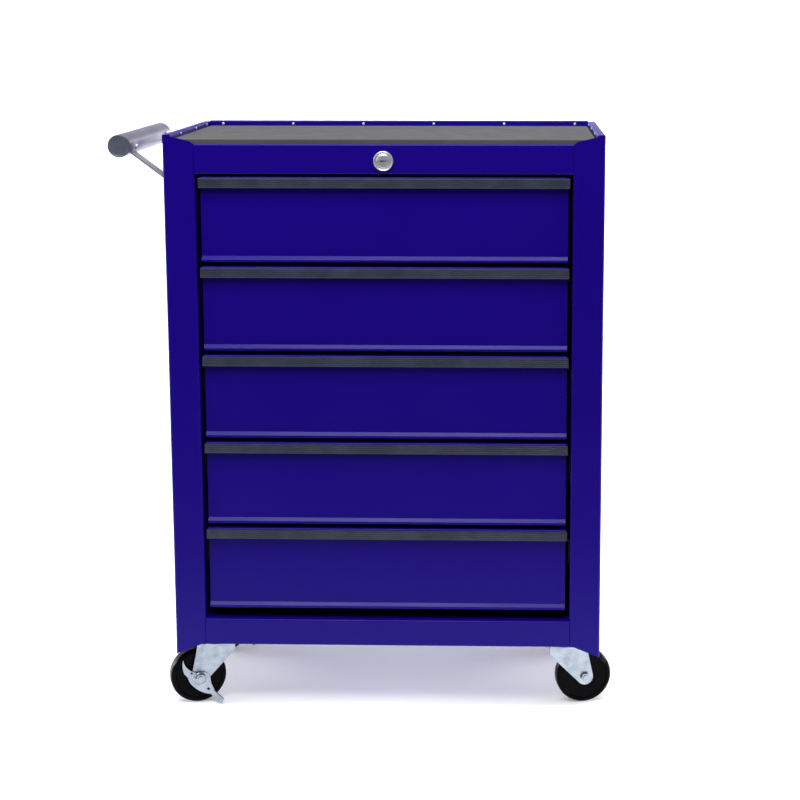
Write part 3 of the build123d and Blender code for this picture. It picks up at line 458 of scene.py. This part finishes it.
silver_peel = add(grip_coat, "ShaderNodeTexNoise",
                  {"Vector": place, "Scale": 1 / (3 * mm), "Detail": 2.0})
silver_relief = add(grip_coat, "ShaderNodeBump",
                    {"Height": silver_peel.outputs["Fac"], "Strength": 0.5,
                     "Distance": 0.04 * mm})
silver_surface = add(grip_coat, "ShaderNodeBsdfPrincipled",
                     {"Base Color": silver_colour.outputs[mix_result],
                      "Roughness": silver_gloss.outputs["Result"],
                      "Normal": silver_relief.outputs["Normal"],
                      "IOR": 1.5, "Metallic": 0.4})
add(grip_coat, "ShaderNodeOutputMaterial", {"Surface": silver_surface.outputs["BSDF"]})

# Slate polypropylene: injection moulded in a spark-eroded tool, whose fine matt texture
# keeps its highlights dim.  The texture is about 0.1 mm, and is drawn at 1.2 mm.
cap_moulding = new_material("moulded_polypropylene_slate")
place = add(cap_moulding, "ShaderNodeTexCoord").outputs["Object"]
flow = add(cap_moulding, "ShaderNodeTexNoise",
           {"Vector": place, "Scale": 1 / (10 * mm), "Detail": 3.0})
flow_share = add(cap_moulding, "ShaderNodeMapRange",
                 {"Value": flow.outputs["Fac"], "From Min": 0.35, "From Max": 0.65})
slate_colour = add(cap_moulding, "ShaderNodeMix",
                   {mix_share: flow_share.outputs["Result"],
                    mix_first: linear("#444956"), mix_second: linear("#4D5262")},
                   data_type="RGBA")
slate_drift = add(cap_moulding, "ShaderNodeTexNoise",
                  {"Vector": place, "Scale": 1 / (6 * mm), "Detail": 4.0})
slate_sheen = add(cap_moulding, "ShaderNodeMapRange",
                  {"Value": slate_drift.outputs["Fac"], "From Min": 0.3, "From Max": 0.7,
                   "To Min": 0.42, "To Max": 0.52})
eroded_texture = add(cap_moulding, "ShaderNodeTexNoise",
                     {"Vector": place, "Scale": 1 / (1.2 * mm), "Detail": 2.0})
eroded_relief = add(cap_moulding, "ShaderNodeBump",
                    {"Height": eroded_texture.outputs["Fac"], "Strength": 0.5,
                     "Distance": 0.08 * mm})
slate_surface = add(cap_moulding, "ShaderNodeBsdfPrincipled",
                    {"Base Color": slate_colour.outputs[mix_result],
                     "Roughness": slate_sheen.outputs["Result"],
                     "Normal": eroded_relief.outputs["Normal"], "IOR": 1.49})
add(cap_moulding, "ShaderNodeOutputMaterial", {"Surface": slate_surface.outputs["BSDF"]})

coat_node("handle_tube", grip_coat)
cap = turned("end_cap", cap_outline, 48)
tube_low, tube_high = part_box("handle_tube")
tube_x = (tube_low.x + tube_high.x) / 2
tube_z = (tube_low.z + tube_high.z) / 2
front_cap = copied(
    cap, "front_cap", Matrix.Translation((tube_x, tube_low.y, tube_z)) @ facing_front)
rear_cap = copied(
    cap, "rear_cap", Matrix.Translation((tube_x, tube_high.y, tube_z)) @ facing_front.inverted())
bpy.data.objects.remove(cap)
put_in(joined([front_cap, rear_cap], "grip_end_caps"), cap_moulding, "handle_end_caps",
       "cabinet")
coat_node("handle_struts", satin_chrome)
coat_node("handle_screws", satin_chrome)


# --- Casters -----------------------------------------------------------------------------
# Pressed and zinc plated forks that swivel on a ring of balls, moulded polypropylene
# wheels, and brake levers on the two casters under the grip tube.

# Polished chrome steel: balls ground and lapped, so they give small sharp glints.  Their
# lapping marks are far too fine to see, and are drawn at 2 mm.
chrome_plate = new_material("chrome_plate")
place = add(chrome_plate, "ShaderNodeTexCoord").outputs["Object"]
grease = add(chrome_plate, "ShaderNodeTexNoise",
             {"Vector": place, "Scale": 1 / (10 * mm), "Detail": 3.0})
grease_share = add(chrome_plate, "ShaderNodeMapRange",
                   {"Value": grease.outputs["Fac"], "From Min": 0.35, "From Max": 0.65})
ball_colour = add(chrome_plate, "ShaderNodeMix",
                  {mix_share: grease_share.outputs["Result"],
                   mix_first: linear("#C9CBD0"), mix_second: linear("#DADCE0")},
                  data_type="RGBA")
ball_drift = add(chrome_plate, "ShaderNodeTexNoise",
                 {"Vector": place, "Scale": 1 / (4 * mm), "Detail": 4.0})
ball_gloss = add(chrome_plate, "ShaderNodeMapRange",
                 {"Value": ball_drift.outputs["Fac"], "From Min": 0.3, "From Max": 0.7,
                  "To Min": 0.10, "To Max": 0.18})
polish = add(chrome_plate, "ShaderNodeTexNoise",
             {"Vector": place, "Scale": 1 / (2 * mm), "Detail": 2.0})
polish_relief = add(chrome_plate, "ShaderNodeBump",
                    {"Height": polish.outputs["Fac"], "Strength": 0.3,
                     "Distance": 0.02 * mm})
ball_surface = add(chrome_plate, "ShaderNodeBsdfPrincipled",
                   {"Base Color": ball_colour.outputs[mix_result],
                    "Roughness": ball_gloss.outputs["Result"],
                    "Normal": polish_relief.outputs["Normal"], "Metallic": 1.0})
add(chrome_plate, "ShaderNodeOutputMaterial", {"Surface": ball_surface.outputs["BSDF"]})

# Black polypropylene: injection moulded in a polished tool, near black, with a thin bright
# line where its rim turns to the light.  The moulding's ripples are drawn at 4 mm.
wheel_moulding = new_material("moulded_polypropylene_black")
place = add(wheel_moulding, "ShaderNodeTexCoord").outputs["Object"]
dust = add(wheel_moulding, "ShaderNodeTexNoise",
           {"Vector": place, "Scale": 1 / (20 * mm), "Detail": 3.0})
dust_share = add(wheel_moulding, "ShaderNodeMapRange",
                 {"Value": dust.outputs["Fac"], "From Min": 0.35, "From Max": 0.65})
tread_colour = add(wheel_moulding, "ShaderNodeMix",
                   {mix_share: dust_share.outputs["Result"],
                    mix_first: linear("#020203"), mix_second: linear("#050508")},
                   data_type="RGBA")
tread_drift = add(wheel_moulding, "ShaderNodeTexNoise",
                  {"Vector": place, "Scale": 1 / (15 * mm), "Detail": 4.0})
tread_gloss = add(wheel_moulding, "ShaderNodeMapRange",
                  {"Value": tread_drift.outputs["Fac"], "From Min": 0.3, "From Max": 0.7,
                   "To Min": 0.18, "To Max": 0.28})
ripples = add(wheel_moulding, "ShaderNodeTexNoise",
              {"Vector": place, "Scale": 1 / (4 * mm), "Detail": 2.0})
ripple_relief = add(wheel_moulding, "ShaderNodeBump",
                    {"Height": ripples.outputs["Fac"], "Strength": 0.3,
                     "Distance": 0.06 * mm})
tread_surface = add(wheel_moulding, "ShaderNodeBsdfPrincipled",
                    {"Base Color": tread_colour.outputs[mix_result],
                     "Roughness": tread_gloss.outputs["Result"],
                     "Normal": ripple_relief.outputs["Normal"],
                     "IOR": 1.49, "Specular IOR Level": 0.05})
add(wheel_moulding, "ShaderNodeOutputMaterial", {"Surface": tread_surface.outputs["BSDF"]})

coat_node("caster_plates", zinc_plate)
coat_node("caster_bolts", zinc_plate)
coat_node("swivel_balls", chrome_plate)
for caster in ("front_left_caster", "front_right_caster", "rear_left_caster", "rear_right_caster"):
    coat_node(f"{caster}_fork", zinc_plate)
    coat_node(f"{caster}_axle", zinc_plate)
    coat_node(f"{caster}_wheel", wheel_moulding)
    if "left" in caster:
        coat_node(f"{caster}_brake", zinc_plate)


# --- Floor, light and camera ---------------------------------------------------------------
# White sheet that lies on the floor and rises behind the cart, lit from overhead and
# from both sides by soft boxes.  It is graded to a light grey well in front of the cart, a
# painted shade, so that the lower drawers do not mirror it, and it glows faintly, which is
# painted light.

painted_shade_start = front_y - 0.34
painted_shade_end = front_y - 0.66
sheet_half_width = 30.0
sheet_front = -30.0
sheet_back = 2.6
sheet_rise = 1.14
sheet_bend = 0.9

# Sheet in matt white emulsion, which gives back even light and no reflection of the cart.
# The roller's texture is drawn at 10 mm.  The low glow is painted light that keeps it white
# where no box reaches, and it fades to grey in front along with the painted shade.
sheet_with_painted_light = new_material("sheet_with_painted_glow_and_shade")
place = add(sheet_with_painted_light, "ShaderNodeTexCoord").outputs["Object"]
depth = add(sheet_with_painted_light, "ShaderNodeSeparateXYZ", {"Vector": place})
# Painted shade: well in front of the cart the sheet's colour and its glow grade from white down to
# grey, standing in for light that falls off there.
painted_shade_share = add(sheet_with_painted_light, "ShaderNodeMapRange",
           {"Value": depth.outputs["Y"], "From Min": painted_shade_start, "From Max": painted_shade_end},
           interpolation_type="SMOOTHSTEP")
sheet_colour_with_painted_shade = add(sheet_with_painted_light, "ShaderNodeMix",
                   {mix_share: painted_shade_share.outputs["Result"],
                    mix_first: linear("#F6F6F7"), mix_second: linear("#808085")},
                   data_type="RGBA")
# Painted light: the sheet glows though it is no lamp, white near the cart and grey further in
# front.
painted_glow_colour = add(sheet_with_painted_light, "ShaderNodeMix",
                  {mix_share: painted_shade_share.outputs["Result"],
                   mix_first: linear("#FFFFFF"), mix_second: linear("#88888E")},
                  data_type="RGBA")
roller_drift = add(sheet_with_painted_light, "ShaderNodeTexNoise",
                   {"Vector": place, "Scale": 1 / (300 * mm), "Detail": 4.0})
sheet_mattness = add(sheet_with_painted_light, "ShaderNodeMapRange",
                     {"Value": roller_drift.outputs["Fac"], "From Min": 0.3, "From Max": 0.7,
                      "To Min": 0.80, "To Max": 0.90})
roller_texture = add(sheet_with_painted_light, "ShaderNodeTexNoise",
                     {"Vector": place, "Scale": 1 / (10 * mm), "Detail": 2.0})
roller_relief = add(sheet_with_painted_light, "ShaderNodeBump",
                    {"Height": roller_texture.outputs["Fac"], "Strength": 0.2,
                     "Distance": 0.1 * mm})
sheet_surface = add(sheet_with_painted_light, "ShaderNodeBsdfPrincipled",
                    {"Base Color": sheet_colour_with_painted_shade.outputs[mix_result],
                     "Roughness": sheet_mattness.outputs["Result"],
                     "Normal": roller_relief.outputs["Normal"], "IOR": 1.4,
                     "Emission Color": painted_glow_colour.outputs[mix_result],
                     "Emission Strength": 0.26})
add(sheet_with_painted_light, "ShaderNodeOutputMaterial", {"Surface": sheet_surface.outputs["BSDF"]})

bpy.ops.object.select_all(action="DESELECT")
bpy.ops.mesh.primitive_plane_add(size=1.0, location=(0, 0, 0))
floor = bpy.context.object
floor.name = "studio_floor"
for corner in floor.data.vertices:
    corner.co.x *= 2 * sheet_half_width
    corner.co.y = sheet_front if corner.co.y < 0 else sheet_back
bpy.ops.object.mode_set(mode="EDIT")
bpy.ops.mesh.select_all(action="DESELECT")
bpy.ops.object.mode_set(mode="OBJECT")
for edge in floor.data.edges:
    edge.select = all(floor.data.vertices[at].co.y > 0 for at in edge.vertices)
bpy.ops.object.mode_set(mode="EDIT")
bpy.ops.mesh.select_mode(type="EDGE")
bpy.ops.mesh.extrude_region_move(TRANSFORM_OT_translate={"value": (0, 0, sheet_rise)})
bpy.ops.mesh.select_all(action="SELECT")
bpy.ops.object.mode_set(mode="OBJECT")
bend = floor.modifiers.new("bend", "BEVEL")
bend.width = sheet_bend
bend.segments = 16
bpy.ops.object.modifier_apply(modifier="bend")
bpy.ops.object.shade_smooth()
floor.data.materials.append(sheet_with_painted_light)


def soft_box(name, position, target, width, height, power):
    """A white rectangular area light that faces a point, in metres and watts."""
    bpy.ops.object.light_add(type="AREA", location=position)
    lamp = bpy.context.object
    lamp.name = name
    lamp.data.shape = "RECTANGLE"
    lamp.data.size = width
    lamp.data.size_y = height
    lamp.data.energy = power
    lamp.rotation_euler = (Vector(target) - Vector(position)).to_track_quat("-Z", "Y").to_euler()


soft_box("key_box", (-0.35, -1.45, 2.35), (0, 0, 0.75), 1.3, 0.8, 38)
soft_box("overhead_box", (0.1, 0.5, 3.0), (0.1, 0.3, 0.4), 3.0, 2.0, 34)
soft_box("strip_box", (0.35, -0.85, 2.6), (0.2, -0.1, 0.6), 1.5, 0.25, 26)
soft_box("left_box", (-2.7, -1.3, 1.6), (0, 0, 0.5), 1.2, 1.6, 14)
soft_box("right_box", (2.7, -1.0, 1.6), (0.1, 0, 0.5), 1.2, 1.6, 12)
soft_box("floor_box_left", (-1.4, 0.30, 0.32), (0, 0.02, 0), 0.9, 0.3, 15)
soft_box("floor_box_right", (1.4, 0.30, 0.32), (0, 0.02, 0), 0.9, 0.3, 15)
soft_box("backdrop_box", (0.1, 0.9, 2.6), (0.1, 2.6, 0.6), 3.5, 0.8, 95)

surround = bpy.data.worlds.new("studio")
surround.use_nodes = True
background = surround.node_tree.nodes["Background"]
background.inputs["Color"].default_value = linear("#C8C9CF")
background.inputs["Strength"].default_value = 0.02
bpy.context.scene.world = surround
bpy.context.scene.view_settings.view_transform = "Standard"

camera_side = 0.185
camera_distance = 2.4
camera_height = 0.997
camera_tilt = math.radians(9.3)
camera_turn = math.radians(1.48)
bpy.ops.object.camera_add(
    location=(centre_x + camera_side, front_y - camera_distance, camera_height),
    rotation=(math.pi / 2 - camera_tilt, 0, camera_turn))
camera = bpy.context.object
camera.name = "studio_camera"
camera.data.lens = 78.1
camera.data.shift_x = -0.09
camera.data.shift_y = -0.12
bpy.context.scene.camera = camera
